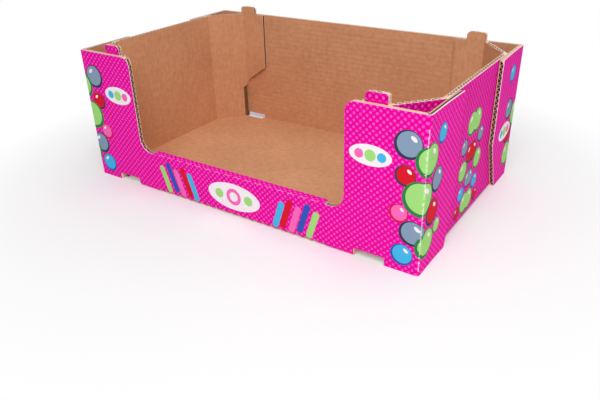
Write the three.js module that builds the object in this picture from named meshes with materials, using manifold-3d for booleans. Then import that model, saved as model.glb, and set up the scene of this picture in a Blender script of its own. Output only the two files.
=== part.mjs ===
// A stackable display tray, folded and glued from one die-cut sheet of corrugated board.
// Millimetres, +Z up, +Y towards the back, origin at the bottom centre of the tray.
//
// The blank folds up like this. The front and rear walls fold up from the floor, and their end
// flaps wrap round the corners onto the outside of the side walls. Each end of a side wall folds
// in to a diagonal, and the diagonal ends in a glue flap on the inside of the front or rear wall.
// That leaves a triangular column, open at the top, in each corner. A stacking tab rises from
// each glue flap, and the next tray's slots drop over the four tabs.

import * as THREE from 'three';
import { mergeVertices } from 'three/addons/utils/BufferGeometryUtils.js';
import Module from 'manifold-3d';

const wasm = await Module();
wasm.setup();

// Tray and board
const WIDTH = 400; // over the front wall
const DEPTH = 240; // front face to rear face
const HEIGHT = 145; // floor's underside to the rim
const BOARD = 4.4; // thickness of the corrugated board
const LINER = 0.5; // sheet of paper on each face of the board
const FLUTE_PITCH = 5.65; // one wave of the medium between the two liners
const MEDIUM_GAP = 0.3; // half of what the medium's thickness takes from each wave
const FLUTE_OPEN_DEPTH = 2.5; // how deep the flutes are open at a cut edge
const FLUTE_END_MARGIN = 3; // from a fold, rim or corner to the first open flute
const CREASE_RADIUS = 3; // outside of a right-angled fold
const GLUE_OVERLAP = 0.1; // how far glued faces are pressed into each other

// Display opening in the front wall
const POST_WIDTH = 74; // tray corner to the opening's edge
const POST_CORNER_RADIUS = 9; // top inner corner of a post
const OPENING_CORNER_RADIUS = 14; // lower corner of the opening
const LIP_HEIGHT = 45.5; // underside to the top of the rolled-over lip
const LIP_INSET = 19; // opening's edge to the end of the lip's roll-over
const LIP_RELIEF = 1.5; // how far the wall dips below the lip beside its ends
const LIP_SLIT = 0.5; // between the front wall and the flap folded down behind it
const LIP_FLAP_CLEARANCE = 1; // lip's inner flap to the floor

// Corner columns
const COLUMN_WIDTH = 37.5; // tray corner to the diagonal's fold on the front or rear wall
const COLUMN_DEPTH = 43; // tray corner to the diagonal's fold on the side wall
const GLUE_FLAP_LENGTH = 33; // fold to free edge
const GLUE_FLAP_FOOT = 77; // height of the free edge's lower corner
const GLUE_FLAP_ROOT = 57; // height at which the slanted lower edge nears the fold
const DIAGONAL_FREE_HEIGHT = 46; // below this the diagonal has no glue flap
const DIAGONAL_TRIM = 5.5; // how far the diagonal is cut back from the fold down there

// Stacking tabs and the slots that take them
const TAB_WIDTH = 20.5;
const TAB_RISE = 9; // above the rim
const TAB_RADIUS = 4;
const SLOT_SIDE_CLEARANCE = 5; // beside the tab, on each side
const SLOT_HEIGHT = 8; // notch in the foot of the wall
const SLOT_BACK_CLEARANCE = 3; // behind the tab, in the floor

// End flaps of the front and rear walls
const END_FLAP_LENGTH = 68; // corner to free end
const END_FLAP_TAPER_HEIGHT = 57; // below this the free end slants back
const FRONT_FLAP_FOOT = 55; // corner to the foot of the front flap's slant
const REAR_FLAP_FOOT = 41; // corner to the foot of the rear flap's slant
const END_FLAP_GLUED = 36; // corner to the last of the glue
const END_FLAP_SPRING = 0.8; // how far the unglued end stands off

const HALF_WIDTH = WIDTH / 2;
const HALF_DEPTH = DEPTH / 2;
const GENTLE_BEND = 0.1; // a bend of fewer radians than this isn't a fold, and isn't rounded
const OVERSHOOT = 5; // how far a cutting solid runs past what it cuts
const GRID = 1 / 1024; // spacing of the fine grid that points are set on

const acrossX = [1, 0, 0];
const acrossY = [0, 1, 0];

const board = new THREE.MeshStandardMaterial({ color: 0xd61b86, roughness: 0.72, metalness: 0 });

function onGrid(value) {
  return Math.round(value / GRID) * GRID;
}

// A closed solid from any closed geometry. Its points are set on a fine grid, so that faces meant
// to lie in one plane do so exactly.
function solidFrom(geometry) {
  geometry.deleteAttribute('normal');
  geometry.deleteAttribute('uv');
  const position = geometry.attributes.position.array;
  position.forEach((value, i) => {
    position[i] = onGrid(value);
  });
  const merged = mergeVertices(geometry, GRID / 2);
  const vertProperties = new Float32Array(merged.attributes.position.array);
  const triVerts = new Uint32Array(merged.index.array);
  return new wasm.Manifold(new wasm.Mesh({ numProp: 3, vertProperties, triVerts }));
}

// The solid's faces as a flat-shaded geometry.
function geometryFrom(solid) {
  const mesh = solid.getMesh();
  const geometry = new THREE.BufferGeometry();
  geometry.setAttribute('position', new THREE.BufferAttribute(mesh.vertProperties, 3));
  geometry.setIndex(new THREE.BufferAttribute(mesh.triVerts, 1));
  const faceted = geometry.toNonIndexed();
  faceted.computeVertexNormals();
  return faceted;
}

// An outline through corner points { x, y, radius }, each rounded by its own radius.
function roundedShape(corners) {
  const shape = new THREE.Shape();
  corners.forEach((corner, i) => {
    const here = new THREE.Vector2(corner.x, corner.y);
    const before = corners[(i + corners.length - 1) % corners.length];
    const after = corners[(i + 1) % corners.length];
    const back = new THREE.Vector2(before.x, before.y).sub(here).normalize();
    const ahead = new THREE.Vector2(after.x, after.y).sub(here).normalize();
    const move = i === 0 ? 'moveTo' : 'lineTo';
    if (!corner.radius) {
      shape[move](here.x, here.y);
      return;
    }
    const halfAngle = Math.acos(back.dot(ahead)) / 2;
    const start = here.clone().addScaledVector(back, corner.radius / Math.tan(halfAngle));
    const toCentre = back.clone().add(ahead).normalize();
    const centre = here.clone().addScaledVector(toCentre, corner.radius / Math.sin(halfAngle));
    const turn = back.clone().negate().cross(ahead);
    const startAngle = Math.atan2(start.y - centre.y, start.x - centre.x);
    const sweep = Math.sign(turn) * (Math.PI - 2 * halfAngle);
    shape[move](start.x, start.y);
    shape.absarc(centre.x, centre.y, corner.radius, startAngle, startAngle + sweep, sweep < 0);
  });
  return shape;
}

// The outline of a folded strip in plan: a centreline given its thickness, its folds rounded.
function stripShape(centreline, foldRadius) {
  const half = BOARD / 2;
  const leftSide = [];
  const rightSide = [];
  centreline.forEach(([x, y], i) => {
    const here = new THREE.Vector2(x, y);
    const previous = new THREE.Vector2(...centreline[Math.max(i - 1, 0)]);
    const next = new THREE.Vector2(...centreline[Math.min(i + 1, centreline.length - 1)]);
    const isEnd = i === 0 || i === centreline.length - 1;
    const incoming = (i === 0 ? next.clone().sub(here) : here.clone().sub(previous)).normalize();
    const outgoing = (isEnd ? incoming.clone() : next.clone().sub(here)).normalize();
    const mitre = incoming.clone().add(outgoing).normalize();
    const reach = half / mitre.dot(incoming);
    const turn = incoming.cross(outgoing);
    const isFold = Math.abs(turn) > GENTLE_BEND;
    const outerRadius = isFold ? foldRadius : 0;
    const innerRadius = isFold ? foldRadius / 4 : 0;
    leftSide.push({
      x: x - mitre.y * reach,
      y: y + mitre.x * reach,
      radius: turn > 0 ? innerRadius : outerRadius,
    });
    rightSide.unshift({
      x: x + mitre.y * reach,
      y: y - mitre.x * reach,
      radius: turn > 0 ? outerRadius : innerRadius,
    });
  });
  return roundedShape([...rightSide.reverse(), ...leftSide.reverse()]);
}

// A prism with a plan outline, from the base up.
function uprightPrism(shape, bottom, top) {
  const geometry = new THREE.ExtrudeGeometry(shape, {
    depth: top - bottom,
    bevelEnabled: false,
    curveSegments: 3,
  });
  geometry.translate(0, 0, bottom);
  return solidFrom(geometry);
}

// A prism with an outline drawn in x and z, from yStart to yEnd.
function prismAlongY(shape, yStart, yEnd) {
  const geometry = new THREE.ExtrudeGeometry(shape, {
    depth: yEnd - yStart,
    bevelEnabled: false,
    curveSegments: 4,
  });
  geometry.rotateX(Math.PI / 2);
  geometry.translate(0, yEnd, 0);
  return solidFrom(geometry);
}

// A prism with an outline drawn in y and z, from xStart to xEnd.
function prismAlongX(shape, xStart, xEnd) {
  const geometry = new THREE.ExtrudeGeometry(shape, {
    depth: xEnd - xStart,
    bevelEnabled: false,
    curveSegments: 3,
  });
  const drawnToWorld = new THREE.Matrix4().makeBasis(
    new THREE.Vector3(0, 1, 0),
    new THREE.Vector3(0, 0, 1),
    new THREE.Vector3(1, 0, 0),
  );
  geometry.applyMatrix4(drawnToWorld);
  geometry.translate(xStart, 0, 0);
  return solidFrom(geometry);
}

// The open ends of the flutes along a cut edge: three-cornered hollows on alternate sides of the
// medium. Corners are (along, across), with across 0 at the middle of the board.
function fluteEnds(start, end) {
  const reach = BOARD / 2 - LINER;
  const halfBase = FLUTE_PITCH / 2 - MEDIUM_GAP;
  const first = start + FLUTE_END_MARGIN + FLUTE_PITCH / 2;
  const length = Math.floor((end - FLUTE_END_MARGIN - first) / (FLUTE_PITCH / 2));
  return Array.from({ length }, (_, i) => {
    const middle = first + i * FLUTE_PITCH / 2;
    const side = i % 2 === 0 ? 1 : -1;
    const corners = [
      [middle - halfBase, side * reach],
      [middle + halfBase, side * reach],
      [middle, side * (MEDIUM_GAP - reach)],
    ];
    return { middle, corners };
  });
}

function block(xStart, xEnd, yStart, yEnd, zStart, zEnd) {
  const geometry = new THREE.BoxGeometry(xEnd - xStart, yEnd - yStart, zEnd - zStart);
  geometry.translate((xStart + xEnd) / 2, (yStart + yEnd) / 2, (zStart + zEnd) / 2);
  return solidFrom(geometry);
}

// The front wall and its end flaps as one strip seen from above, for the side where y is
// negative. Past the glue each flap stands off the side wall a little.
function wallStrip() {
  const x = HALF_WIDTH - BOARD / 2;
  const y = -HALF_DEPTH + BOARD / 2;
  const glueEnd = -HALF_DEPTH + END_FLAP_GLUED;
  const flapEnd = -HALF_DEPTH + END_FLAP_LENGTH;
  const centreline = [
    [-x - END_FLAP_SPRING, flapEnd],
    [-x, glueEnd],
    [-x, y],
    [x, y],
    [x, glueEnd],
    [x + END_FLAP_SPRING, flapEnd],
  ];
  return uprightPrism(stripShape(centreline, CREASE_RADIUS), 0, HEIGHT);
}

// What the slanted foot of an end flap loses, right through both side walls' flaps.
function flapTaper(flapFoot) {
  const flapEnd = -HALF_DEPTH + END_FLAP_LENGTH;
  const taper = new THREE.Shape();
  taper.moveTo(-HALF_DEPTH + flapFoot, 0);
  taper.lineTo(-HALF_DEPTH + flapFoot, -OVERSHOOT);
  taper.lineTo(flapEnd + OVERSHOOT, -OVERSHOOT);
  taper.lineTo(flapEnd + OVERSHOOT, END_FLAP_TAPER_HEIGHT);
  taper.lineTo(flapEnd, END_FLAP_TAPER_HEIGHT);
  return prismAlongX(taper, -HALF_WIDTH - OVERSHOOT, HALF_WIDTH + OVERSHOOT);
}

// The display opening, drawn as seen from the front.
function displayOpening() {
  const edge = HALF_WIDTH - POST_WIDTH;
  const sill = LIP_HEIGHT - LIP_RELIEF;
  const wide = edge + POST_CORNER_RADIUS;
  const opening = new THREE.Shape();
  opening.moveTo(-wide, HEIGHT + OVERSHOOT);
  opening.lineTo(-wide, HEIGHT);
  opening.absarc(-wide, HEIGHT - POST_CORNER_RADIUS, POST_CORNER_RADIUS, Math.PI / 2, 0, true);
  opening.lineTo(-edge, sill + OPENING_CORNER_RADIUS);
  opening.absarc(
    -edge + OPENING_CORNER_RADIUS, sill + OPENING_CORNER_RADIUS, OPENING_CORNER_RADIUS,
    Math.PI, 1.5 * Math.PI, false,
  );
  opening.lineTo(edge - OPENING_CORNER_RADIUS, sill);
  opening.absarc(
    edge - OPENING_CORNER_RADIUS, sill + OPENING_CORNER_RADIUS, OPENING_CORNER_RADIUS,
    -Math.PI / 2, 0, false,
  );
  opening.lineTo(edge, HEIGHT - POST_CORNER_RADIUS);
  opening.absarc(wide, HEIGHT - POST_CORNER_RADIUS, POST_CORNER_RADIUS, Math.PI, Math.PI / 2, true);
  opening.lineTo(wide, HEIGHT + OVERSHOOT);
  return prismAlongY(opening, -HALF_DEPTH - OVERSHOOT, -HALF_DEPTH + BOARD + OVERSHOOT);
}

// The level flutes that end in the open at the two edges of the display opening.
function openingFlutes() {
  const edge = HALF_WIDTH - POST_WIDTH;
  const lowest = LIP_HEIGHT - LIP_RELIEF + OPENING_CORNER_RADIUS / 2;
  const y = -HALF_DEPTH + BOARD / 2;
  const shapes = fluteEnds(lowest, HEIGHT - POST_CORNER_RADIUS / 2).map(({ corners }) => (
    new THREE.Shape(corners.map(([along, across]) => new THREE.Vector2(y - across, along)))
  ));
  const right = prismAlongX(shapes, edge - FLUTE_OPEN_DEPTH, edge + FLUTE_OPEN_DEPTH);
  return right.add(right.mirror(acrossX));
}

// The level flutes that end in the open at the free ends of two end flaps. Low down they follow
// the slant of the flap's foot.
function endFlapFlutes(flapFoot) {
  const glueEnd = -HALF_DEPTH + END_FLAP_GLUED;
  const flapEnd = -HALF_DEPTH + END_FLAP_LENGTH;
  const slant = (END_FLAP_LENGTH - flapFoot) / END_FLAP_TAPER_HEIGHT;
  const flutes = fluteEnds(0, HEIGHT).map(({ middle, corners }) => {
    const end = flapEnd - slant * Math.max(END_FLAP_TAPER_HEIGHT - middle, 0);
    const spring = END_FLAP_SPRING * (end - glueEnd) / (flapEnd - glueEnd);
    const x = HALF_WIDTH - BOARD / 2 + spring;
    const points = corners.map(([along, across]) => new THREE.Vector2(x + across, along));
    return prismAlongY(new THREE.Shape(points), end - FLUTE_OPEN_DEPTH, end + OVERSHOOT);
  });
  const right = flutes.reduce((joined, flute) => joined.add(flute));
  return right.add(right.mirror(acrossX));
}

// The lip: the front wall's low middle folds back over itself and down inside the tray.
function rolledLip() {
  const front = -HALF_DEPTH;
  const rear = front + 2 * BOARD + LIP_SLIT;
  const flapFoot = BOARD + LIP_FLAP_CLEARANCE;
  const section = roundedShape([
    { x: front, y: BOARD },
    { x: front + BOARD, y: BOARD },
    { x: front + BOARD, y: LIP_HEIGHT - BOARD },
    { x: rear - BOARD, y: LIP_HEIGHT - BOARD },
    { x: rear - BOARD, y: flapFoot },
    { x: rear, y: flapFoot },
    { x: rear, y: LIP_HEIGHT, radius: CREASE_RADIUS },
    { x: front, y: LIP_HEIGHT, radius: CREASE_RADIUS / 2 },
  ]);
  const end = HALF_WIDTH - POST_WIDTH - LIP_INSET;
  return prismAlongX(section, -end, end);
}

// The middle of the board along one side strip in plan, for the side where x is negative: glue
// flap, diagonal, side wall, diagonal, glue flap.
function sideCentreline() {
  const layer = 1.5 * BOARD - GLUE_OVERLAP;
  const x = -HALF_WIDTH + layer;
  const y = -HALF_DEPTH + layer;
  const foldX = -HALF_WIDTH + COLUMN_WIDTH;
  const foldY = -HALF_DEPTH + COLUMN_DEPTH;
  return [
    [foldX + GLUE_FLAP_LENGTH, y],
    [foldX, y],
    [x, foldY],
    [x, -foldY],
    [foldX, -y],
    [foldX + GLUE_FLAP_LENGTH, -y],
  ];
}

function sideStrip() {
  return uprightPrism(stripShape(sideCentreline(), CREASE_RADIUS / 2), 0, HEIGHT + TAB_RISE);
}

// Outlines in plan of the upright flutes between two points of a strip's centreline.
function uprightFluteShapes(from, to) {
  const start = new THREE.Vector2(...from);
  const way = new THREE.Vector2(...to).sub(start);
  const stretch = fluteEnds(0, way.length());
  way.normalize();
  const outward = new THREE.Vector2(way.y, -way.x);
  return stretch.map(({ corners }) => new THREE.Shape(corners.map(([along, across]) => (
    start.clone().addScaledVector(way, along).addScaledVector(outward, across)
  ))));
}

// The upright flutes that end in the open along the side strip's top, tabs included.
function sideStripFlutes() {
  const [flapEnd, flapFold, wallFold, wallEnd] = sideCentreline();
  const tabEnd = [flapFold[0] + TAB_WIDTH, flapFold[1]];
  const cornerShapes = [
    ...uprightFluteShapes(flapEnd, tabEnd),
    ...uprightFluteShapes(flapFold, wallFold),
  ];
  const tabTop = HEIGHT + TAB_RISE;
  const cornerRim = uprightPrism(cornerShapes, HEIGHT - FLUTE_OPEN_DEPTH, HEIGHT + OVERSHOOT);
  const tabShapes = uprightFluteShapes(tabEnd, flapFold);
  const tab = uprightPrism(tabShapes, tabTop - FLUTE_OPEN_DEPTH, tabTop + OVERSHOOT);
  const wallShapes = uprightFluteShapes(wallFold, wallEnd);
  const wallRim = uprightPrism(wallShapes, HEIGHT - FLUTE_OPEN_DEPTH, HEIGHT + OVERSHOOT);
  const corner = cornerRim.add(tab);
  return corner.add(corner.mirror(acrossY)).add(wallRim);
}

// The side strip's outline seen from the front: the tab on top, and below it the glue flap cut
// away on a slant so that the tab of the tray beneath can rise behind the wall.
function sideStripSilhouette() {
  const foldX = -HALF_WIDTH + COLUMN_WIDTH;
  const freeEdge = foldX + GLUE_FLAP_LENGTH + OVERSHOOT;
  const slantEnd = foldX + GLUE_FLAP_LENGTH;
  const trimX = foldX - DIAGONAL_TRIM;
  const outside = -HALF_WIDTH - OVERSHOOT;
  const shape = roundedShape([
    { x: outside, y: -OVERSHOOT },
    { x: trimX, y: -OVERSHOOT },
    { x: trimX, y: DIAGONAL_FREE_HEIGHT },
    { x: foldX + BOARD, y: GLUE_FLAP_ROOT, radius: BOARD },
    { x: slantEnd, y: GLUE_FLAP_FOOT },
    { x: freeEdge, y: GLUE_FLAP_FOOT },
    { x: freeEdge, y: HEIGHT },
    { x: foldX + TAB_WIDTH, y: HEIGHT },
    { x: foldX + TAB_WIDTH, y: HEIGHT + TAB_RISE, radius: TAB_RADIUS },
    { x: foldX, y: HEIGHT + TAB_RISE, radius: TAB_RADIUS },
    { x: foldX, y: HEIGHT },
    { x: outside, y: HEIGHT },
  ]);
  return prismAlongY(shape, -HALF_DEPTH - OVERSHOOT, HALF_DEPTH + OVERSHOOT);
}

// A slot at the foot of the front wall at the left, which a tab of the tray beneath enters.
function tabSlot() {
  const tabStart = -HALF_WIDTH + COLUMN_WIDTH;
  return block(
    tabStart - SLOT_SIDE_CLEARANCE, tabStart + TAB_WIDTH + SLOT_SIDE_CLEARANCE,
    -HALF_DEPTH - OVERSHOOT, -HALF_DEPTH + 2 * BOARD + SLOT_BACK_CLEARANCE,
    -OVERSHOOT, SLOT_HEIGHT,
  );
}

// What a fold takes off a square lower edge: the corner outside a quarter round.
function creaseRelief(length) {
  const corner = new THREE.Shape();
  corner.moveTo(-OVERSHOOT, -OVERSHOOT);
  corner.lineTo(CREASE_RADIUS, -OVERSHOOT);
  corner.lineTo(CREASE_RADIUS, 0);
  corner.absarc(CREASE_RADIUS, CREASE_RADIUS, CREASE_RADIUS, -Math.PI / 2, -Math.PI, true);
  corner.lineTo(-OVERSHOOT, CREASE_RADIUS);
  return prismAlongX(corner, -length / 2, length / 2);
}

const frontWall = wallStrip()
  .subtract(flapTaper(FRONT_FLAP_FOOT))
  .subtract(endFlapFlutes(FRONT_FLAP_FOOT))
  .subtract(displayOpening())
  .subtract(openingFlutes());
const rearWall = wallStrip()
  .subtract(flapTaper(REAR_FLAP_FOOT))
  .subtract(endFlapFlutes(REAR_FLAP_FOOT))
  .mirror(acrossY);
const leftSide = sideStrip().intersect(sideStripSilhouette()).subtract(sideStripFlutes());
const rightSide = leftSide.mirror(acrossX);

const sideFace = onGrid(HALF_WIDTH - BOARD + GLUE_OVERLAP);
const floor = block(-sideFace, sideFace, -HALF_DEPTH, HALF_DEPTH, 0, BOARD);

// The walls and the floor are cut before the side walls join them, because a slot passes the
// foot of the diagonal without touching it.
const slotSpan = WIDTH - 2 * (COLUMN_WIDTH + TAB_WIDTH + SLOT_SIDE_CLEARANCE);
const frontCrease = creaseRelief(slotSpan).translate([0, -HALF_DEPTH, 0]);
const slot = tabSlot();
const slots = slot
  .add(slot.mirror(acrossX))
  .add(slot.mirror(acrossY))
  .add(slot.mirror(acrossX).mirror(acrossY));
const walls = frontWall
  .add(rearWall)
  .add(floor)
  .subtract(slots)
  .subtract(frontCrease)
  .subtract(frontCrease.mirror(acrossY));

// The side walls fold up from the floor between the end flaps' feet.
const sideCreaseLength = DEPTH - FRONT_FLAP_FOOT - REAR_FLAP_FOOT;
const sideCreaseCentre = (FRONT_FLAP_FOOT - REAR_FLAP_FOOT) / 2;
const leftCrease = creaseRelief(sideCreaseLength)
  .rotate([0, 0, -90])
  .translate([-sideFace, sideCreaseCentre, 0]);

const folded = walls
  .add(leftSide)
  .add(rightSide)
  .add(rolledLip())
  .subtract(leftCrease)
  .subtract(leftCrease.mirror(acrossX));

const tray = new THREE.Mesh(geometryFrom(folded), board);
tray.name = 'display_tray';

const group = new THREE.Group();
group.add(tray);

export default group;
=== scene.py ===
import math

import bmesh
import bpy
import numpy as np
from mathutils import Matrix, Vector


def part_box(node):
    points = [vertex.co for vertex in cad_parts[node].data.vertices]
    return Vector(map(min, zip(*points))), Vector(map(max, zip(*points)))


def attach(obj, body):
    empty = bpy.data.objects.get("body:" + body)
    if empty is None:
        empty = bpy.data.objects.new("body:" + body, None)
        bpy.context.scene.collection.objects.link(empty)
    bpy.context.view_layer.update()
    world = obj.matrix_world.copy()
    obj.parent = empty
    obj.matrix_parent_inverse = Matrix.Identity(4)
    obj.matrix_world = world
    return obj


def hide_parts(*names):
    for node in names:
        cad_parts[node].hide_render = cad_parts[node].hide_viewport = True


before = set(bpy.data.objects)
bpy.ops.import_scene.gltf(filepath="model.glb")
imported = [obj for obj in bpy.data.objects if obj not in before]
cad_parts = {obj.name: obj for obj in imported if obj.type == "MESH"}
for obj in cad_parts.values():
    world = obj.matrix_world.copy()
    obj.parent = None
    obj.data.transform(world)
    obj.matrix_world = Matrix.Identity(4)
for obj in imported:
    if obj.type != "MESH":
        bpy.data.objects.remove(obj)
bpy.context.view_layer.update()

# Floor panel: the middle of the one die-cut sheet that the whole tray is folded from. It is
# single-wall corrugated board, bare kraft inside and white-faced outside, with flutes from side
# to side. The walls fold up round it, and its four slots take the tabs of a tray below.
high = Vector(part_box("display_tray")[1])
board = 0.0044
liner = 0.0006
medium = 0.0004
flute_pitch = 0.00565
flap_spring = 0.0008
half_width = high.x - flap_spring
half_depth = high.y
front = -half_depth

column_width = 0.0375
tab_width = 0.0205
slot_side_clearance = 0.005
slot_height = 0.008
slot_corner_radius = 0.003
slot_end_clearance = 0.003
slot_reach = 2 * board + slot_end_clearance
overshoot = 0.005
hair = 0.0001

# Finish slots: outer face, kraft inside, cut edge, and the dark flute finish, which is partly
# painted shade.
OUTSIDE, INSIDE, CUT, SHADED_FLUTE = 0, 1, 2, 3


def ink(red, green, blue):
    """A printer's 0 to 255 colour as the linear colour that a shader takes."""
    shares = (red / 255, green / 255, blue / 255)
    linear = [s / 12.92 if s <= 0.04045 else ((s + 0.055) / 1.055) ** 2.4 for s in shares]
    return (*linear, 1.0)


def wire(tree, kind, inputs=None, **settings):
    """Adds a shader node, sets it up and links or fills its inputs by number or name."""
    node = tree.nodes.new(kind)
    for name, value in settings.items():
        setattr(node, name, value)
    for key, value in (inputs or {}).items():
        if isinstance(value, bpy.types.NodeSocket):
            tree.links.new(value, node.inputs[key])
        else:
            node.inputs[key].default_value = value
    return node


def maths(tree, operation, *values):
    """Adds one step of arithmetic to a shader and gives its result."""
    node = wire(tree, "ShaderNodeMath", dict(enumerate(values)), operation=operation)
    return node.outputs[0]


def sheet_axes(tree):
    """Place on the flat sheet: along the panel, up the panel, and depth from the printed face."""
    place = wire(tree, "ShaderNodeAttribute", attribute_name="sheet")
    parts = wire(tree, "ShaderNodeSeparateXYZ", {0: place.outputs["Vector"]})
    return place.outputs["Vector"], parts.outputs


def blend(tree, share, below, above):
    """Lays one colour over another by a share from 0 to 1."""
    node = wire(tree, "ShaderNodeMix", {0: share, 6: below, 7: above}, data_type="RGBA")
    return node.outputs[2]


def noise(tree, place, scale, detail, roughness=0.5):
    node = wire(tree, "ShaderNodeTexNoise", {0: place, "Scale": scale, "Detail": detail,
                                             "Roughness": roughness})
    return node.outputs[0]


def emboss(tree, shader, height):
    """Lets a height in metres stand out from the paper."""
    bump = wire(tree, "ShaderNodeBump", {"Height": height, "Distance": 1.0})
    tree.links.new(bump.outputs[0], shader.inputs["Normal"])


def washboard(tree, across_flutes, height):
    """Height of the faint ridges where the flutes press through the liner."""
    turns = maths(tree, "MULTIPLY", across_flutes, 2 * math.pi / flute_pitch)
    return maths(tree, "MULTIPLY", maths(tree, "COSINE", turns), height)


def paper_shader(name, roughness, gloss):
    material = bpy.data.materials.new(name)
    material.use_nodes = True
    shader = material.node_tree.nodes["Principled BSDF"]
    shader.inputs["Roughness"].default_value = roughness
    shader.inputs["Specular IOR Level"].default_value = gloss
    return material, material.node_tree, shader


def kraft_finish(name, flutes_up):
    """Bare kraft liner: brown paper with fibres, specks and faint flutes, with painted shade in
    the grooves.
    """
    material, tree, shader = paper_shader(name, roughness=0.85, gloss=0.2)
    place, axis = sheet_axes(tree)
    across_flutes = axis[0] if flutes_up else axis[1]
    grain = (420, 90, 90) if flutes_up else (90, 420, 90)
    stretched = wire(tree, "ShaderNodeMapping", {0: place, 3: grain}).outputs[0]
    fibre = noise(tree, stretched, scale=1.0, detail=5.0, roughness=0.65)
    cloud = noise(tree, place, scale=16.0, detail=4.0)
    mottle = noise(tree, place, scale=190.0, detail=3.0)
    speck = noise(tree, place, scale=700.0, detail=1.0)
    fibre_share = 0.2
    cloud_share = 0.35
    mottle_share = 0.45
    tone = maths(tree, "MULTIPLY", fibre, fibre_share)
    tone = maths(tree, "MULTIPLY_ADD", cloud, cloud_share, tone)
    tone = maths(tree, "MULTIPLY_ADD", mottle, mottle_share, tone)
    # Painted shade: the tone is paler on the flute ridges and darker in the grooves between them.
    tone = maths(tree, "ADD", tone, washboard(tree, across_flutes, height=0.02))
    paper = wire(tree, "ShaderNodeValToRGB", {0: tone})
    darker, paler = paper.color_ramp.elements
    darker.position = 0.25
    darker.color = ink(195, 139, 101)
    paler.position = 0.8
    paler.color = ink(233, 175, 134)
    speck_limit = 0.66
    speck_strength = 0.18
    dark = maths(tree, "GREATER_THAN", speck, speck_limit)
    strength = maths(tree, "MULTIPLY", dark, speck_strength)
    colour = blend(tree, strength, paper.outputs[0], ink(134, 88, 58))
    tree.links.new(colour, shader.inputs["Base Color"])
    fibre_height = 0.00003
    ridge_height = 0.00004
    relief = maths(tree, "MULTIPLY", fibre, fibre_height)
    emboss(tree, shader,
           maths(tree, "ADD", relief, washboard(tree, across_flutes, ridge_height)))
    return material


def mottled_paper(name, darker, paler, scale):
    """Unprinted paper in two tones: the sheet's white outer face, and the medium's brown darkened
    as painted shade.
    """
    material, tree, shader = paper_shader(name, roughness=0.9, gloss=0.15)
    place = sheet_axes(tree)[0]
    mottle = noise(tree, place, scale, detail=4.0)
    tree.links.new(blend(tree, mottle, darker, paler), shader.inputs["Base Color"])
    return material


def cut_edge_finish():
    """A die-cut edge: the white face shows as a pale line, and the fibres behind are light."""
    material, tree, shader = paper_shader("cut_edge", roughness=0.9, gloss=0.15)
    place, axis = sheet_axes(tree)
    mottle = noise(tree, place, scale=300.0, detail=3.0)
    torn = blend(tree, mottle, ink(214, 168, 134), ink(252, 222, 192))
    white_depth = 0.0008
    ragged = maths(tree, "MULTIPLY_ADD", mottle, white_depth, white_depth)
    white = maths(tree, "LESS_THAN", axis[2], ragged)
    colour = blend(tree, white, torn, ink(252, 228, 230))
    tree.links.new(colour, shader.inputs["Base Color"])
    return material


def bar(bm, outline, place, start, end, slots):
    """A closed bar with the outline (a, b) at each end; slots is one finish, or one an edge."""
    ends = [[bm.verts.new(place(a, b, reach)) for a, b in outline] for reach in (start, end)]
    for loop in ends:
        bm.faces.new(loop).material_index = CUT
    for i in range(len(outline)):
        j = (i + 1) % len(outline)
        face = bm.faces.new((ends[0][i], ends[0][j], ends[1][j], ends[1][i]))
        face.material_index = slots if isinstance(slots, int) else slots[i]


def along_x(y, z, x):
    return Vector((x, y, z))


def along_y(x, z, y):
    return Vector((x, y, z))


def box_outline(a_start, a_end, b_start, b_end):
    return [(a_start, b_start), (a_end, b_start), (a_end, b_end), (a_start, b_end)]


def flute_hollows(first, count):
    """Outlines (along, across) of the hollows on both sides of count waves of the medium."""
    travel = board / 2 - liner - medium / 2
    steps = 8
    root = 0.25
    hollows = []
    for number in range(2 * count):
        side = 1 if number % 2 == 0 else -1
        crest = first + number * flute_pitch / 2
        curve = []
        for step in range(steps + 1):
            turn = root + (2 * math.pi - 2 * root) * step / steps
            slope = travel * math.sin(turn) * 2 * math.pi / flute_pitch
            across = travel * math.cos(turn) + medium / 2 * math.hypot(1, slope)
            curve.append((crest + turn / (2 * math.pi) * flute_pitch, side * across))
        against = side * (board / 2 - liner)
        hollows.append([(curve[0][0], against), (curve[-1][0], against), *reversed(curve)])
    return hollows


def flutes_between(start, end):
    """As many whole waves as fit, set in the middle of the stretch."""
    count = int((end - start) / flute_pitch - 0.5)
    return flute_hollows((start + end - (count + 0.5) * flute_pitch) / 2, count)


def new_piece(name, bm, finishes):
    bmesh.ops.recalc_face_normals(bm, faces=bm.faces)
    mesh = bpy.data.meshes.new(name)
    bm.to_mesh(mesh)
    bm.free()
    for finish in finishes:
        mesh.materials.append(finish)
    piece = bpy.data.objects.new(name, mesh)
    bpy.context.scene.collection.objects.link(piece)
    return piece


def die_cut(piece, tool_bm, operation="DIFFERENCE"):
    """Cuts or joins a piece with a tool, and keeps each face's finish."""
    tool = new_piece(piece.name + "_die", tool_bm, piece.data.materials)
    modifier = piece.modifiers.new("die", "BOOLEAN")
    modifier.operation = operation
    modifier.solver = "MANIFOLD"
    modifier.object = tool
    dressed = piece.evaluated_get(bpy.context.evaluated_depsgraph_get())
    mesh = bpy.data.meshes.new_from_object(dressed)
    piece.modifiers.clear()
    piece.data = mesh
    bpy.data.objects.remove(tool)


def keep_place(piece, places):
    """Stores each point's place on the flat sheet, which the print and the fibres follow."""
    attribute = piece.data.attributes.new("sheet", "FLOAT_VECTOR", "POINT")
    attribute.data.foreach_set("vector", np.asarray(places, dtype=np.float32).ravel())


def points_of(piece):
    flat = np.empty(len(piece.data.vertices) * 3, dtype=np.float32)
    piece.data.vertices.foreach_get("co", flat)
    return flat.reshape(-1, 3)


def declare(piece):
    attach(piece, "root")
    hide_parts("display_tray")


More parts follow.
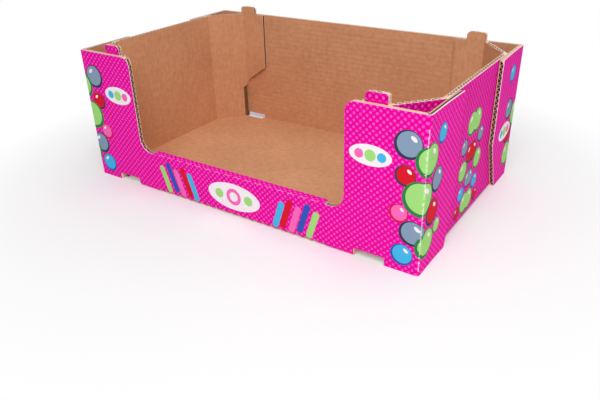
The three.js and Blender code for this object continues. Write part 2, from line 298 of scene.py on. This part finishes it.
def rounded(corners):
    """Outline points and edge finishes from corners (a, b, radius, finish of the next edge)."""
    fewest_steps = 3
    step_turn = 0.2
    points = []
    finishes = []
    for i, (a, b, radius, finish) in enumerate(corners):
        here = Vector((a, b))
        before = (Vector(corners[i - 1][:2]) - here).normalized()
        after = (Vector(corners[(i + 1) % len(corners)][:2]) - here).normalized()
        if radius == 0:
            points.append((a, b))
            finishes.append(finish)
            continue
        half_angle = before.angle(after) / 2
        centre = here + (before + after).normalized() * radius / math.sin(half_angle)
        start = here + before * radius / math.tan(half_angle) - centre
        sweep = math.pi - 2 * half_angle
        if before.cross(after) > 0:
            sweep = -sweep
        steps = max(fewest_steps, round(abs(sweep) / step_turn))
        for step in range(steps + 1):
            spot = centre + Matrix.Rotation(sweep * step / steps, 2) @ start
            points.append((spot.x, spot.y))
            finishes.append(finish)
    return points, finishes


def slot_cutters(bm):
    """The four slots, each open at the foot of a wall and reaching into the floor."""
    start = half_width - column_width - tab_width - slot_side_clearance
    end = half_width - column_width + slot_side_clearance
    for side in (-1, 1):
        outline, slots = rounded([
            (side * start, -overshoot, 0, CUT), (side * start, slot_height, 0, CUT),
            (side * end, slot_height, slot_corner_radius, CUT), (side * end, -overshoot, 0, CUT),
        ])
        for way in (-1, 1):
            bar(bm, outline, along_y, way * (half_depth - slot_reach),
                way * (half_depth + overshoot), slots)


kraft_across = kraft_finish("kraft_liner", flutes_up=False)
cut_edge = cut_edge_finish()
white_face = mottled_paper("white_face", ink(222, 214, 210), ink(246, 242, 240), 60.0)
# The medium's brown is set darker than the real medium, as painted shade in the flute hollows.
shaded_flute_paper = mottled_paper("shaded_flute_paper", ink(100, 68, 44), ink(156, 114, 82), 200.0)

side_face = half_width - board + hair
floor_bm = bmesh.new()
bar(floor_bm, box_outline(front + board - hair, -front - board + hair, 0, board), along_x,
    -side_face + board / 2, side_face - board / 2, [OUTSIDE, INSIDE, INSIDE, INSIDE])
tray_floor = new_piece("tray_floor", floor_bm, [white_face, kraft_across, cut_edge, shaded_flute_paper])

hollow_bm = bmesh.new()
for hollow in flutes_between(-half_depth + 2 * board, half_depth - 2 * board):
    level = [(a, board / 2 - b) for a, b in hollow]
    bar(hollow_bm, level, along_x, -half_width, half_width, SHADED_FLUTE)
die_cut(tray_floor, hollow_bm)
slots_bm = bmesh.new()
slot_cutters(slots_bm)
die_cut(tray_floor, slots_bm)
keep_place(tray_floor, points_of(tray_floor))
declare(tray_floor)

# Side walls: each is one strip of the sheet with upright flutes. The wall stands in the middle,
# each end turns in to a diagonal and then to a glue flap behind the front or rear wall, and a
# stacking tab rises from each glue flap. Printed outside, bare kraft inside.
tab_rise = 0.009
rim = high.z - tab_rise
crease_radius = 0.003
column_depth = 0.043
glue_flap_length = 0.033
glue_flap_foot = 0.077
glue_flap_root = 0.057
diagonal_free_height = 0.046
diagonal_trim = 0.0025
tab_radius = 0.004
tab_fold_radius = 0.0025
rim_pinch = 0.0015
pinched_share = 0.75
fold_margin = 0.0022
front_flap_trim = 0.002
front_flap_radius = 0.0085
layer = 1.5 * board - hair
row_spacing = 0.012
gentle_bend = 0.1
fold_steps = 6
round_steps = 8
dot_pink = ink(253, 80, 216)
paper_white = ink(252, 244, 248)
leaf = ink(166, 226, 128)
forest = ink(52, 132, 74)
slate = ink(138, 160, 186)
dark_slate = ink(52, 62, 84)
cherry = ink(222, 26, 44)
sky = ink(70, 190, 236)
blue = ink(56, 88, 190)


def vector_maths(tree, operation, *values):
    node = wire(tree, "ShaderNodeVectorMath", dict(enumerate(values)), operation=operation)
    return node.outputs["Value" if operation == "LENGTH" else "Vector"]


def shape_group(name, sticks):
    """A shader group that prints one oval, or one round-ended stick, over what lies below."""
    group = bpy.data.node_groups.new(name, "ShaderNodeTree")
    face = group.interface
    for label, kind in (("Place", "Vector"), ("Centre", "Vector"), ("Turn", "Vector"),
                        ("Size", "Vector"), ("Ink", "Color"), ("Below", "Color")):
        face.new_socket(label, in_out="INPUT", socket_type="NodeSocket" + kind)
    face.new_socket("Colour", in_out="OUTPUT", socket_type="NodeSocketColor")
    given = group.nodes.new("NodeGroupInput").outputs
    scale = (1, 1, 1) if sticks else given["Size"]
    local = wire(group, "ShaderNodeMapping", {0: given["Place"], 1: given["Centre"],
                                              2: given["Turn"], 3: scale}, vector_type="TEXTURE")
    if sticks:
        size = wire(group, "ShaderNodeSeparateXYZ", {0: given["Size"]}).outputs
        parts = wire(group, "ShaderNodeSeparateXYZ", {0: local.outputs[0]}).outputs
        past = maths(group, "SUBTRACT", maths(group, "ABSOLUTE", parts[0]), size[0])
        past = maths(group, "MAXIMUM", past, 0.0)
        offset = wire(group, "ShaderNodeCombineXYZ", {0: past, 1: parts[1]}).outputs[0]
        limit = size[1]
    else:
        offset = local.outputs[0]
        limit = 1.0
    inside = maths(group, "LESS_THAN", vector_maths(group, "LENGTH", offset), limit)
    result = group.nodes.new("NodeGroupOutput")
    group.links.new(blend(group, inside, given["Below"], given["Ink"]), result.inputs[0])
    return group


oval_group = shape_group("printed_oval", sticks=False)


def oval(along, up, half_length, half_height, colour, turn=0.0):
    return (oval_group, along, up, half_length, half_height, colour, turn)


def disc(along, up, radius, colour):
    return oval(along, up, radius, radius, colour)


def gumball(along, up, radius, colour, shade):
    """A sweet: a disc with a darker rim, an inner disc set off to one side and a glint."""
    shift = 0.06 * radius
    inner_radius = 0.86 * radius
    glint_turn = -0.7
    return [disc(along, up, radius, shade),
            disc(along + shift, up + shift, inner_radius, colour),
            oval(along + 0.35 * radius, up + 0.45 * radius, 0.26 * radius, 0.14 * radius,
                 paper_white, glint_turn)]


def print_finish(name, shapes, flutes_up, ribs_and_shade, corner=None):
    """Flexo print on white-top liner: magenta, fine dots, sweets over them, and painted shade in
    the flute grooves.
    """
    material, tree, shader = paper_shader(name, roughness=0.65, gloss=0.05)
    place, axis = sheet_axes(tree)
    dot_pitch = 0.00595
    dot_radius = 0.21
    cover = 0.0
    for shift in (0.25, 0.75):
        cell = vector_maths(tree, "MULTIPLY_ADD", place, (1 / dot_pitch, 1 / dot_pitch, 0),
                            (shift, shift, 0))
        within = vector_maths(tree, "FRACTION", cell)
        offset = vector_maths(tree, "SUBTRACT", within, (0.5, 0.5, 0))
        hit = maths(tree, "LESS_THAN", vector_maths(tree, "LENGTH", offset), dot_radius)
        cover = maths(tree, "MAXIMUM", hit, cover)
    cloud = noise(tree, place, scale=30.0, detail=3.0)
    solid = blend(tree, cloud, ink(238, 0, 148), ink(246, 2, 160))
    colour = blend(tree, cover, solid, dot_pink)
    # Painted shade: the print darkens towards deep magenta in the grooves between the flute
    # ridges.
    wave = washboard(tree, axis[0] if flutes_up else axis[1], ribs_and_shade)
    painted_groove_shade = maths(tree, "MAXIMUM", wave, 0.0)
    colour = blend(tree, painted_groove_shade, colour, ink(158, 0, 62))
    mirrored = vector_maths(tree, "ABSOLUTE", place)
    flat = vector_maths(tree, "MULTIPLY", mirrored, (1, 1, 0))
    for group, along, up, length, height, shade, turn in shapes:
        given = {"Place": flat, "Centre": (along, up, 0), "Turn": (0, 0, turn),
                 "Size": (length, height, 1), "Ink": shade, "Below": colour}
        colour = wire(tree, "ShaderNodeGroup", given, node_tree=group).outputs[0]
    if corner is not None:
        crack_start = rim - 0.0115
        crack_spread = 0.0032
        crack_loss = 0.0013
        crack_strength = 0.6
        along = wire(tree, "ShaderNodeSeparateXYZ", {0: flat}).outputs[0]
        off = maths(tree, "ABSOLUTE", maths(tree, "SUBTRACT", along, corner))
        broken = noise(tree, place, scale=420.0, detail=2.0)
        limit = maths(tree, "MULTIPLY_ADD", broken, crack_spread, -crack_loss)
        crack = maths(tree, "LESS_THAN", off, limit)
        low_enough = maths(tree, "LESS_THAN", axis[1], crack_start)
        worn = maths(tree, "MULTIPLY", crack, low_enough)
        worn = maths(tree, "MULTIPLY", worn, crack_strength)
        colour = blend(tree, worn, colour, paper_white)
    tree.links.new(colour, shader.inputs["Base Color"])
    ridge_height = 0.0002
    emboss(tree, shader, maths(tree, "MULTIPLY", wave, -ridge_height))
    return material


def along_z(x, y, z):
    return Vector((x, y, z))


def folded_run(corners, outer_radius, inner_radius):
    """Rows of (inside point, outside point) along a strip that turns left at each fold."""
    rows = []
    for i, corner in enumerate(corners):
        here = Vector(corner)
        incoming = (here - Vector(corners[i - 1])).normalized() if i else None
        outgoing = incoming
        if i < len(corners) - 1:
            outgoing = (Vector(corners[i + 1]) - here).normalized()
        incoming = incoming or outgoing
        bend = incoming.angle(outgoing)
        across = (incoming + outgoing).normalized()
        outward = Vector((across.y, -across.x))
        stretch = 1 / math.cos(bend / 2)
        if bend < gentle_bend:
            half = outward * stretch * board / 2
            rows.append((here - half, here + half))
            continue
        first = Vector((incoming.y, -incoming.x))
        outer_centre = here + outward * stretch * (board / 2 - outer_radius)
        inner_centre = here - outward * stretch * (board / 2 + inner_radius)
        for step in range(fold_steps + 1):
            normal = Matrix.Rotation(bend * step / fold_steps, 2) @ first
            inside = inner_centre + normal * inner_radius
            rows.append((inside, outer_centre + normal * outer_radius))
    fine = [rows[0]]
    for inside, outside in rows[1:]:
        last_inside, last_outside = fine[-1]
        parts = max(1, round((outside - last_outside).length / row_spacing))
        for part in range(1, parts + 1):
            share = part / parts
            fine.append((last_inside.lerp(inside, share), last_outside.lerp(outside, share)))
    return fine


def run_along(bm, rows, outline, slots):
    """A closed bar that follows the rows; its outline is (height, across) points."""
    loops = []
    for inside, outside in rows:
        loop = []
        for height, across in outline:
            spot = inside.lerp(outside, 0.5 + across / board)
            loop.append(bm.verts.new((spot.x, spot.y, height)))
        loops.append(loop)
    bm.faces.new(loops[0]).material_index = CUT
    bm.faces.new(loops[-1]).material_index = CUT
    for near, far in zip(loops, loops[1:]):
        for i in range(len(outline)):
            j = (i + 1) % len(outline)
            bm.faces.new((near[i], near[j], far[j], far[i])).material_index = slots[i]


def sheet_places(points, rows):
    """Each point's distance along the strip from its middle, its height and its depth."""
    inside = np.array([row[0] for row in rows])
    outside = np.array([row[1] for row in rows])
    middle = (inside + outside) / 2
    steps = np.linalg.norm(np.diff(outside, axis=0), axis=1)
    travelled = np.concatenate(([0], np.cumsum(steps)))
    start = middle[:-1]
    run = np.diff(middle, axis=0)
    away = points[:, None, :2] - start[None]
    share = (away * run[None]).sum(2) / (run * run).sum(1)[None]
    share = np.clip(share, 0, 1)
    off = away - share[..., None] * run[None]
    distance = (off ** 2).sum(2)
    best = distance.argmin(1)
    pick = np.arange(len(points))
    along = travelled[best] + share[pick, best] * steps[best]
    outward = np.stack([run[:, 1], -run[:, 0]], 1) / np.linalg.norm(run, axis=1)[:, None]
    across = (off[pick, best] * outward[best]).sum(1)
    centre = travelled[-1] / 2
    return np.stack([along - centre, points[:, 2], board / 2 - across], 1)


def wall_section(top):
    """The board on edge: bare inside, printed outside, raw above and below."""
    return ([(0, -board / 2), (top, -board / 2), (top, board / 2), (0, board / 2)],
            [INSIDE, CUT, OUTSIDE, CUT])


def bottom_crease(bm, length, place):
    """What the fold at a wall's foot takes off: the corner outside a quarter round."""
    outline = [(-overshoot, -overshoot), (crease_radius, -overshoot)]
    for step in range(fold_steps + 1):
        turn = math.pi / 2 * step / fold_steps
        outline.append((crease_radius - crease_radius * math.sin(turn),
                        crease_radius - crease_radius * math.cos(turn)))
    outline.append((-overshoot, crease_radius))
    bar(bm, outline, place, -length / 2, length / 2, OUTSIDE)


def quarter_round(radius):
    """How far each point of a quarter round lies inside the two sides of its square corner."""
    turns = [math.pi / 2 * step / round_steps for step in range(round_steps + 1)]
    return [(radius * (1 - math.cos(turn)), radius * (1 - math.sin(turn))) for turn in turns]


side_shapes = [
    *gumball(0.006, 0.100, 0.0120, leaf, forest),
    *gumball(0.021, 0.081, 0.0085, slate, dark_slate),
    *gumball(0.004, 0.070, 0.0100, cherry, dark_slate),
    *gumball(0.019, 0.056, 0.0110, leaf, forest),
    *gumball(0.002, 0.042, 0.0090, slate, dark_slate),
    *gumball(0.018, 0.032, 0.0080, sky, blue),
    *gumball(0.005, 0.017, 0.0115, leaf, forest),
    *gumball(0.025, 0.014, 0.0070, cherry, dark_slate),
]
side_print = print_finish("side_print", side_shapes, flutes_up=True, ribs_and_shade=0.45)
kraft_up = kraft_finish("kraft_liner_upright", flutes_up=True)

fold_x = -half_width + column_width
fold_y = front + column_depth
flap_y = front + layer
side_corners = [
    (fold_x + glue_flap_length, -flap_y),
    (fold_x, -flap_y),
    (-half_width + layer, -fold_y),
    (-half_width + layer, fold_y),
    (fold_x, flap_y),
    (fold_x + glue_flap_length, flap_y),
]
side_rows = folded_run(side_corners, crease_radius / 2, crease_radius / 8)


def side_wall(name, side):
    """The left strip, or its mirror image for the right."""
    bm = bmesh.new()
    outline, slots = wall_section(rim + tab_rise)
    run_along(bm, side_rows, outline, slots)
    piece = new_piece(name, bm, [side_print, kraft_up, cut_edge, shaded_flute_paper])
    hollows_bm = bmesh.new()
    pinched_bm = bmesh.new()
    for number in range(len(side_corners) - 1):
        start = Vector(side_corners[number])
        way = Vector(side_corners[number + 1]) - start
        length = way.length
        way.normalize()
        outward = Vector((way.y, -way.x))
        first = -flute_pitch if number == 0 else fold_margin
        last = length + flute_pitch if number == len(side_corners) - 2 else length - fold_margin
        for hollow in flutes_between(first, last):
            plan = [start + way * a + outward * b for a, b in hollow]
            middle = sum(plan, Vector((0, 0))) / len(plan)
            on_tab = fold_x < middle.x < fold_x + tab_width
            top = rim + tab_rise if on_tab else rim
            pinched = [middle + (p - middle) * pinched_share for p in plan]
            bar(hollows_bm, [(p.x, p.y) for p in plan], along_z,
                -overshoot, top - rim_pinch, SHADED_FLUTE)
            bar(pinched_bm, [(p.x, p.y) for p in pinched], along_z,
                top - 2 * rim_pinch, rim + tab_rise + overshoot, SHADED_FLUTE)
    die_cut(piece, hollows_bm)
    die_cut(piece, pinched_bm)
    outside = -half_width - overshoot
    free_edge = fold_x + glue_flap_length + overshoot
    # The diagonal's free edge takes the dark flute finish in place of the cut edge's: painted
    # shade.
    corners = [
        (outside, -overshoot, 0, CUT), (fold_x - diagonal_trim, -overshoot, 0, SHADED_FLUTE),
        (fold_x - diagonal_trim, diagonal_free_height, 0, CUT),
        (fold_x + board, glue_flap_root, board, CUT),
        (fold_x + glue_flap_length, glue_flap_foot, 0, CUT), (free_edge, glue_flap_foot, 0, CUT),
        (free_edge, rim, 0, CUT), (fold_x + tab_width, rim, 0, CUT),
        (fold_x + tab_width, rim + tab_rise, tab_radius, CUT),
        (fold_x, rim + tab_rise, tab_fold_radius, CUT),
        (fold_x, rim, 0, CUT), (outside, rim, 0, CUT),
    ]
    silhouette, slots = rounded(corners)
    shape_bm = bmesh.new()
    bar(shape_bm, silhouette, along_y, front - overshoot, -front + overshoot, slots)
    die_cut(piece, shape_bm, "INTERSECT")
    flap_edge = fold_x + glue_flap_length - front_flap_trim
    trim = [
        (flap_edge, glue_flap_root),
        *[(flap_edge - a, rim - b) for a, b in quarter_round(front_flap_radius)],
        (flap_edge - front_flap_radius, rim + overshoot), (free_edge, rim + overshoot),
        (free_edge, glue_flap_root),
    ]
    trim_bm = bmesh.new()
    bar(trim_bm, trim, along_y, front - overshoot, 0, CUT)
    die_cut(piece, trim_bm)
    crease_bm = bmesh.new()
    bottom_crease(crease_bm, -2 * fold_y,
                  lambda a, b, reach: Vector((a - half_width + board, reach, b)))
    die_cut(piece, crease_bm)
    keep_place(piece, sheet_places(points_of(piece), side_rows))
    if side > 0:
        piece.data.transform(Matrix.Scale(-1, 4, (1, 0, 0)))
        piece.data.flip_normals()
    declare(piece)


side_wall("left_side", -1)
side_wall("right_side", 1)

# Front wall: a strip with level flutes whose end flaps wrap round the corners and are glued to
# the side walls. The display opening leaves two posts, and the low middle folds back over
# itself along a perforated crease into a lip, with its flap down inside the tray.
post_width = 0.074
post_corner_radius = 0.009
opening_corner_radius = 0.014
lip_height = 0.0455
lip_inset = 0.019
lip_relief = 0.0015
lip_slit = 0.0005
lip_flap_clearance = 0.001
end_flap_length = 0.068
end_flap_taper_height = 0.057
front_flap_foot = 0.055
rear_flap_foot = 0.041
end_flap_glued = 0.036
post_flute_shift = 0.9
stick_radius = 0.0034
stick_turn = 1.25
bright_pink = ink(255, 110, 190)
stick_group = shape_group("printed_stick", sticks=True)

wall_x = half_width - board / 2
wall_y = front + board / 2
flap_end = front + end_flap_length
wall_corners = [
    (-wall_x - flap_spring, flap_end),
    (-wall_x, front + end_flap_glued),
    (-wall_x, wall_y),
    (wall_x, wall_y),
    (wall_x, front + end_flap_glued),
    (wall_x + flap_spring, flap_end),
]
wall_rows = folded_run(wall_corners, crease_radius, crease_radius / 8)


def wall_strip(name, flap_foot, top_hollow, finishes):
    """Wall and end flaps in one run, fluted, with tapered feet and the two slots."""
    bm = bmesh.new()
    outline, slots = wall_section(rim)
    run_along(bm, wall_rows, outline, slots)
    piece = new_piece(name, bm, finishes)
    first_way = (wall_rows[0][1] - wall_rows[1][1]).normalized() * overshoot
    last_way = (wall_rows[-1][1] - wall_rows[-2][1]).normalized() * overshoot
    past_ends = [
        (wall_rows[0][0] + first_way, wall_rows[0][1] + first_way), *wall_rows[1:-1],
        (wall_rows[-1][0] + last_way, wall_rows[-1][1] + last_way),
    ]
    hollows_bm = bmesh.new()
    waves = int(rim / flute_pitch)
    for hollow in flute_hollows(top_hollow - (waves + 0.5) * flute_pitch, waves):
        run_along(hollows_bm, past_ends, hollow, [SHADED_FLUTE] * len(hollow))
    die_cut(piece, hollows_bm)
    taper = [
        (front + flap_foot, 0), (front + flap_foot, -overshoot),
        (flap_end + overshoot, -overshoot), (flap_end + overshoot, end_flap_taper_height),
        (flap_end, end_flap_taper_height),
    ]
    taper_bm = bmesh.new()
    bar(taper_bm, taper, along_x, -half_width - overshoot, half_width + overshoot, CUT)
    slot_cutters(taper_bm)
    die_cut(piece, taper_bm)
    slot_gap = half_width - column_width - tab_width - slot_side_clearance
    crease_bm = bmesh.new()
    bottom_crease(crease_bm, 2 * slot_gap, lambda a, b, reach: Vector((reach, a + front, b)))
    die_cut(piece, crease_bm)
    return piece


def stick(along, up, half_length, colour):
    return (stick_group, along, up, half_length, stick_radius, colour, stick_turn)


def dotted_badge(along, up, half_length):
    """A white oval with three discs side by side."""
    disc_spacing = 0.0105
    return [oval(along, up, half_length, 0.0094, paper_white),
            disc(along - disc_spacing, up, 0.0042, bright_pink),
            disc(along, up, 0.0052, leaf),
            disc(along + disc_spacing, up, 0.0042, sky)]


corner_sweets = [
    gumball(0.184, 0.118, 0.0125, slate, dark_slate),
    gumball(0.205, 0.106, 0.0145, leaf, forest),
    gumball(0.183, 0.091, 0.0095, cherry, dark_slate),
    gumball(0.226, 0.122, 0.0090, sky, blue),
    gumball(0.197, 0.073, 0.0160, leaf, forest),
    gumball(0.222, 0.083, 0.0115, slate, dark_slate),
    gumball(0.179, 0.056, 0.0085, bright_pink, cherry),
    gumball(0.216, 0.055, 0.0125, cherry, dark_slate),
    gumball(0.192, 0.040, 0.0120, slate, dark_slate),
    gumball(0.209, 0.028, 0.0140, leaf, forest),
    gumball(0.184, 0.017, 0.0105, sky, blue),
    gumball(0.229, 0.036, 0.0075, leaf, forest),
]
lip_sticks = [
    stick(0.055, 0.018, 0.0125, sky),
    stick(0.064, 0.021, 0.0140, cherry),
    stick(0.074, 0.018, 0.0125, bright_pink),
    stick(0.084, 0.022, 0.0140, blue),
    stick(0.094, 0.018, 0.0125, leaf),
]
lip_badge = [
    oval(0.0, 0.0218, 0.033, 0.0146, paper_white),
    disc(0.0, 0.0218, 0.0092, bright_pink),
    disc(0.0, 0.0218, 0.0052, paper_white),
    disc(0.0185, 0.0218, 0.0052, leaf),
]
front_shapes = [*sum(corner_sweets, []), *dotted_badge(0.151, 0.1017, 0.0197), *lip_sticks,
                *lip_badge]
corner_along = half_width - crease_radius * (1 - math.pi / 4)
front_print = print_finish("front_print", front_shapes, flutes_up=False, ribs_and_shade=0.1,
                           corner=corner_along)

front_wall = wall_strip("front_wall", front_flap_foot, rim + post_flute_shift * flute_pitch,
                        [front_print, kraft_across, cut_edge, shaded_flute_paper])

# The knife presses the rim nearly shut, and the cut crease leaves scallops along the foot.
pressed_depth = 0.0012
pressed_face = 0.0012
pressed_gap = 0.0003
pressed_bm = bmesh.new()
bar(pressed_bm, box_outline(front + liner + pressed_gap, front + board - liner / 2,
                            rim - pressed_depth, rim),
    along_x, -half_width + board, half_width - board, CUT)
run_along(pressed_bm, wall_rows,
          box_outline(rim - pressed_depth, rim, board / 2 - pressed_face, board / 2),
          [CUT, CUT, OUTSIDE, CUT])
die_cut(front_wall, pressed_bm, "UNION")

scallop_pitch = 0.0101
scallop_height = 0.0028
scallop_foot = 0.0012
scallop_depth = 0.0032
scallop_steps = 10
scallop_count = 21
scallops = [(-scallop_count / 2 * scallop_pitch, -overshoot)]
for step in range(scallop_count * scallop_steps + 1):
    share = step / scallop_steps
    scallops.append(((share - scallop_count / 2) * scallop_pitch,
                     scallop_foot + scallop_height * (1 - abs(math.sin(math.pi * share)))))
scallops.append((scallop_count / 2 * scallop_pitch, -overshoot))
scallops_bm = bmesh.new()
bar(scallops_bm, scallops, along_y, front - overshoot, front + scallop_depth, CUT)
die_cut(front_wall, scallops_bm)

opening_edge = half_width - post_width
sill = lip_height - lip_relief
above = rim + overshoot
shoulder_overcut = 0.001
opening = rounded([
    (-opening_edge, above, 0, CUT),
    (-opening_edge, sill, opening_corner_radius, CUT),
    (opening_edge, sill, opening_corner_radius, CUT),
    (opening_edge, above, 0, CUT),
])[0]
opening_bm = bmesh.new()
bar(opening_bm, opening, along_y, front - overshoot, front + board + overshoot, CUT)
die_cut(front_wall, opening_bm)
for side in (-1, 1):
    past_edge = side * (opening_edge - shoulder_overcut)
    shoulder = [
        (past_edge, above), (past_edge, rim - post_corner_radius),
        *[(side * (opening_edge + a), rim - b) for a, b in quarter_round(post_corner_radius)],
        (side * (opening_edge + post_corner_radius), above),
    ]
    shoulder_bm = bmesh.new()
    bar(shoulder_bm, shoulder, along_y, front - overshoot, front + board + overshoot, CUT)
    die_cut(front_wall, shoulder_bm)

lip_rear = front + 2 * board + lip_slit
flap_foot = board + lip_flap_clearance
lip_end = opening_edge - lip_inset
lip_section, lip_slots = rounded([
    (front, sill - board, 0, CUT),
    (front + board, sill - board, 0, INSIDE),
    (front + board, lip_height - board, 0, INSIDE),
    (lip_rear - board, lip_height - board, 0, INSIDE),
    (lip_rear - board, flap_foot, 0, CUT),
    (lip_rear, flap_foot, 0, OUTSIDE),
    (lip_rear, lip_height, crease_radius, OUTSIDE),
    (front, lip_height, crease_radius / 2, OUTSIDE),
])
lip_bm = bmesh.new()
bar(lip_bm, lip_section, along_x, -lip_end, lip_end, lip_slots)
die_cut(front_wall, lip_bm, "UNION")
lip_hollows_bm = bmesh.new()
for hollow in flutes_between(flap_foot + liner, lip_height - board):
    bar(lip_hollows_bm, [(lip_rear - board / 2 + b, a) for a, b in hollow], along_x,
        -lip_end - overshoot, lip_end + overshoot, SHADED_FLUTE)
die_cut(front_wall, lip_hollows_bm)

# The lip's crease is perforated, and each short cut opens as the board folds.
perforation_pitch = 0.0128
perforation_length = 0.0082
perforation_width = 0.0008
perforation_depth = 0.0009
perforation_flare = 0.0006
perforations_each_way = 8
perforations_bm = bmesh.new()
for number in range(-perforations_each_way, perforations_each_way):
    middle = (number + 0.5) * perforation_pitch
    nick = [
        (front - overshoot, lip_height - perforation_width - perforation_flare),
        (front + perforation_depth, lip_height - perforation_depth),
        (front - overshoot, lip_height + perforation_flare),
    ]
    bar(perforations_bm, nick, along_x, middle - perforation_length / 2,
        middle + perforation_length / 2, CUT)
die_cut(front_wall, perforations_bm)

front_points = points_of(front_wall)
front_places = sheet_places(front_points, wall_rows)
x, y, z = front_points.T
between_ends = np.abs(x) <= lip_end + hair
on_lip = between_ends & (z > sill - hair)
on_flap = between_ends & (y > front + board + hair)
rolled = (on_lip | on_flap) & (y < lip_rear + hair)
back = y - front
depth = np.minimum(np.minimum(back, lip_height - z), lip_rear - y)
over = lip_height + np.minimum(back, lip_rear - front)
fallen = np.where(z < lip_height - board, lip_height - z, 0)
front_places[rolled, 0] = x[rolled]
front_places[rolled, 1] = np.where(depth < back, over + fallen, z)[rolled]
front_places[rolled, 2] = depth[rolled]
keep_place(front_wall, front_places)
declare(front_wall)

# Rear wall: the same strip without an opening, its end flaps cut shorter at the foot. It shuts
# the back of the tray and stands as high as the side walls.
rear_sweets = corner_sweets[3:8] + corner_sweets[9:10]
rear_shapes = [
    *sum(rear_sweets, []), *dotted_badge(0.228, 0.0600, 0.0196),
    oval(0.0, 0.0750, 0.046, 0.0220, paper_white),
    disc(0.0, 0.0750, 0.0150, bright_pink),
    disc(0.0, 0.0750, 0.0085, paper_white),
    disc(0.0300, 0.0750, 0.0080, leaf),
]
rear_print = print_finish("rear_print", rear_shapes, flutes_up=False, ribs_and_shade=0.1,
                          corner=corner_along)
rear_wall = wall_strip("rear_wall", rear_flap_foot, rim - liner,
                       [rear_print, kraft_across, cut_edge, shaded_flute_paper])
keep_place(rear_wall, sheet_places(points_of(rear_wall), wall_rows))
rear_wall.data.transform(Matrix.Scale(-1, 4, (0, 1, 0)))
rear_wall.data.flip_normals()
declare(rear_wall)

# Studio: a pale table that fades to plain white away from the tray, a white surround, and three
# soft lamps. The camera stands where the photograph was taken from.
table_radius = 4
table_gap = 0.0002
fade_start = 0.17
fade_end = 0.4
surround_light = 0.32
table_bm = bmesh.new()
bmesh.ops.create_circle(table_bm, cap_ends=True, segments=64, radius=table_radius)
table_paint = bpy.data.materials.new("table_paint")
table_paint.use_nodes = True
tree = table_paint.node_tree
shader = tree.nodes["Principled BSDF"]
shader.inputs["Base Color"].default_value = ink(250, 250, 250)
shader.inputs["Roughness"].default_value = 0.9
where = wire(tree, "ShaderNodeTexCoord")
reach = vector_maths(tree, "LENGTH", where.outputs["Object"])
fade = wire(tree, "ShaderNodeMapRange", {0: reach, 1: fade_start, 2: fade_end})
ray = wire(tree, "ShaderNodeLightPath")
share = maths(tree, "MULTIPLY", fade.outputs[0], ray.outputs["Is Camera Ray"])
white = wire(tree, "ShaderNodeEmission", {0: (1, 1, 1, 1), 1: 1.0})
blended = wire(tree, "ShaderNodeMixShader", {0: share, 1: shader.outputs[0],
                                             2: white.outputs[0]})
tree.links.new(blended.outputs[0], tree.nodes["Material Output"].inputs[0])
table = new_piece("table", table_bm, [table_paint])
table.location.z = -table_gap

world = bpy.data.worlds.new("surround")
bpy.context.scene.world = world
world.use_nodes = True
tree = world.node_tree
backdrop = tree.nodes["Background"]
backdrop.inputs[0].default_value = (1, 1, 1, 1)
ray = wire(tree, "ShaderNodeLightPath")
seen = maths(tree, "MAXIMUM", ray.outputs["Is Camera Ray"], ray.outputs["Is Glossy Ray"])
seen = maths(tree, "MAXIMUM", seen, ray.outputs["Is Transmission Ray"])
strength = wire(tree, "ShaderNodeMapRange", {0: seen, 3: surround_light, 4: 1.0})
tree.links.new(strength.outputs[0], backdrop.inputs[1])


def soft_lamp(name, place, target, size, power):
    lamp = bpy.data.lights.new(name, "AREA")
    lamp.shape = "DISK"
    lamp.size = size
    lamp.energy = power
    holder = bpy.data.objects.new(name, lamp)
    holder.location = place
    holder.rotation_euler = (Vector(target) - Vector(place)).to_track_quat("-Z", "Y").to_euler()
    bpy.context.scene.collection.objects.link(holder)


middle_height = 0.07
soft_lamp("front_lamp", (0.41, -0.65, 0.89), (0, 0, middle_height), size=0.75, power=7.6)
soft_lamp("side_lamp", (0.95, -0.2, 0.16), (0.2, 0, middle_height), size=0.25, power=0.4)
soft_lamp("top_lamp", (0.2, 0.3, 1.7), (0, 0, middle_height), size=1.2, power=4.6)

camera_turn = math.radians(34.422)
camera_fall = math.radians(28.349)
camera_roll = math.radians(-1.527)
camera_place = (0.3549, -0.5207, 0.3031)
camera_data = bpy.data.cameras.new("camera")
camera_data.lens = 36.1
camera_data.sensor_width = 36
camera_data.clip_start = 0.01
camera = bpy.data.objects.new("camera", camera_data)
camera.matrix_world = (
    Matrix.Translation(camera_place)
    @ Matrix.Rotation(camera_turn, 4, "Z")
    @ Matrix.Rotation(math.pi / 2 - camera_fall, 4, "X")
    @ Matrix.Rotation(camera_roll, 4, "Z")
)
bpy.context.scene.collection.objects.link(camera)
bpy.context.scene.camera = camera
bpy.context.scene.view_settings.view_transform = "Standard"
